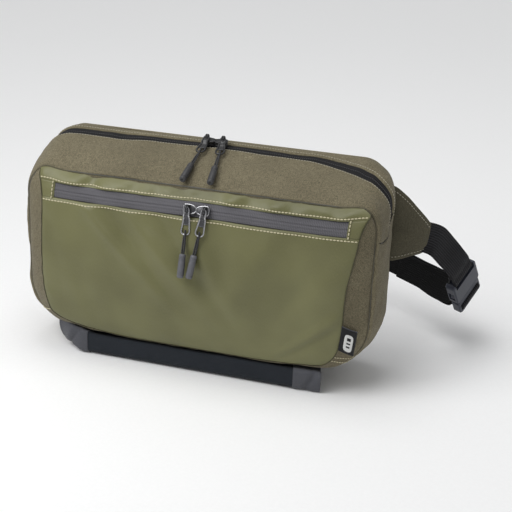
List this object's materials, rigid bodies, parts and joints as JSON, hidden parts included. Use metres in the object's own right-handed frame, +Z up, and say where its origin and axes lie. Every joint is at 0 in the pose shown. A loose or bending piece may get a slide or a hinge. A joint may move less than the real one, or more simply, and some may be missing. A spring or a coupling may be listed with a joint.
{
  "type": "waist bag",
  "caption": "Waist bag with a zipped main compartment, a zipped front pocket, an open sleeve underneath and a webbing belt with a side-release buckle.",
  "frame": {"origin": "centre of the underside of the sleeve, the face that the bag stands on", "axes": "+X to the right seen from the front, front pocket towards -Y, +Z up"},
  "size_m": [0.454, 0.2466, 0.212],
  "materials": {
    "canvas": "heathered khaki canvas",
    "olive_nylon": "satin nylon",
    "sleeve_fabric": "dark plain weave",
    "cuff_fabric": "grey satin",
    "mesh_pad": "air mesh over foam",
    "lining": "plain lining",
    "zip_tape_black": "woven tape",
    "zip_tape_grey": "woven tape",
    "zip_coil": "moulded nylon coil",
    "webbing": "ribbed webbing",
    "nickel": "polished nickel plate",
    "black_metal": "black lacquer",
    "cord": "braided cord",
    "grip_rubber": "soft matt",
    "buckle_plastic": "fine moulded texture",
    "label": "damask woven"
  },
  "bodies": {
    "bag": {"gusset_lower": "canvas", "gusset_top_front": "canvas", "gusset_top_rear": "canvas", "top_zip_tape": "zip_tape_black", "top_zip_coil": "zip_coil", "back_panel": "canvas", "back_pad": "mesh_pad", "divider_wall": "lining", "front_piping": "canvas", "pocket_gusset": "canvas", "front_panel_upper": "olive_nylon", "front_panel_lower": "olive_nylon", "front_zip_tape": "zip_tape_grey", "front_zip_coil": "zip_coil", "front_zip_end_left": "olive_nylon", "front_zip_end_right": "olive_nylon", "bottom_sleeve": "sleeve_fabric", "sleeve_cuff_left": "cuff_fabric", "sleeve_cuff_right": "cuff_fabric", "wing_right": "canvas", "wing_left": "canvas", "buckle_female": "buckle_plastic", "belt_right": "webbing", "belt_left": "webbing", "belt_tail": "webbing", "side_label": "label"},
    "front_left_slider_body": {"front_left_slider": "nickel"},
    "front_left_puller_body": {"front_left_puller": "nickel", "front_left_cord": "cord", "front_left_grip": "grip_rubber"},
    "front_right_slider_body": {"front_right_slider": "nickel"},
    "front_right_puller_body": {"front_right_puller": "nickel", "front_right_cord": "cord", "front_right_grip": "grip_rubber"},
    "top_left_slider_body": {"top_left_slider": "black_metal"},
    "top_left_puller_body": {"top_left_puller": "black_metal", "top_left_cord": "cord", "top_left_grip": "grip_rubber"},
    "top_right_slider_body": {"top_right_slider": "black_metal"},
    "top_right_puller_body": {"top_right_puller": "black_metal", "top_right_cord": "cord", "top_right_grip": "grip_rubber"},
    "buckle_male_body": {"buckle_male": "buckle_plastic", "belt_male_loop": "webbing"},
    "prong_upper_body": {"buckle_prong_upper": "buckle_plastic"},
    "prong_lower_body": {"buckle_prong_lower": "buckle_plastic"}
  },
  "joints": [
    {"name": "front_left_zip", "type": "slide", "parent": "bag", "child": "front_left_slider_body", "axis": [1, 0, 0], "range_m": [-0.128, 0]},
    {"name": "front_left_pull", "type": "hinge", "parent": "front_left_slider_body", "child": "front_left_puller_body", "pos_m": [-0.0004, -0.05275, 0.16365], "axis": [-1, 0, 0], "range_deg": [0, 115]},
    {"name": "front_right_zip", "type": "slide", "parent": "bag", "child": "front_right_slider_body", "axis": [1, 0, 0], "range_m": [0, 0.116]},
    {"name": "front_right_pull", "type": "hinge", "parent": "front_right_slider_body", "child": "front_right_puller_body", "pos_m": [0.0126, -0.05275, 0.16365], "axis": [-1, 0, 0], "range_deg": [0, 115]},
    {"name": "top_left_zip", "type": "slide", "parent": "bag", "child": "top_left_slider_body", "axis": [0.9993, 0.0366, 0.0079], "range_m": [-0.092, 0]},
    {"name": "top_left_pull", "type": "hinge", "parent": "top_left_slider_body", "child": "top_left_puller_body", "pos_m": [-0.0082, 0.02255, 0.20896], "axis": [-1, 0, 0], "range_deg": [0, 115]},
    {"name": "top_right_zip", "type": "slide", "parent": "bag", "child": "top_right_slider_body", "axis": [0.9993, -0.0366, -0.0079], "range_m": [0, 0.096]},
    {"name": "top_right_pull", "type": "hinge", "parent": "top_right_slider_body", "child": "top_right_puller_body", "pos_m": [0.0042, 0.02255, 0.20896], "axis": [-1, 0, 0], "range_deg": [0, 115]},
    {"name": "buckle_release", "type": "slide", "parent": "bag", "child": "buckle_male_body", "axis": [0.156, 0.5941, -0.7891], "range_m": [0, 0.032], "deforming": ["buckle_prong_upper", "buckle_prong_lower"]},
    {"name": "prong_upper_press", "type": "hinge", "parent": "buckle_male_body", "child": "prong_upper_body", "pos_m": [0.23851, 0.11247, 0.0671], "axis": [0.9127, -0.3921, -0.1147], "range_deg": [0, 10], "stiffness_Nm_per_rad": 0.4},
    {"name": "prong_lower_press", "type": "hinge", "parent": "buckle_male_body", "child": "prong_lower_body", "pos_m": [0.2302, 0.09702, 0.05382], "axis": [-0.9127, 0.3921, 0.1147], "range_deg": [0, 10], "stiffness_Nm_per_rad": 0.4}
  ]
}
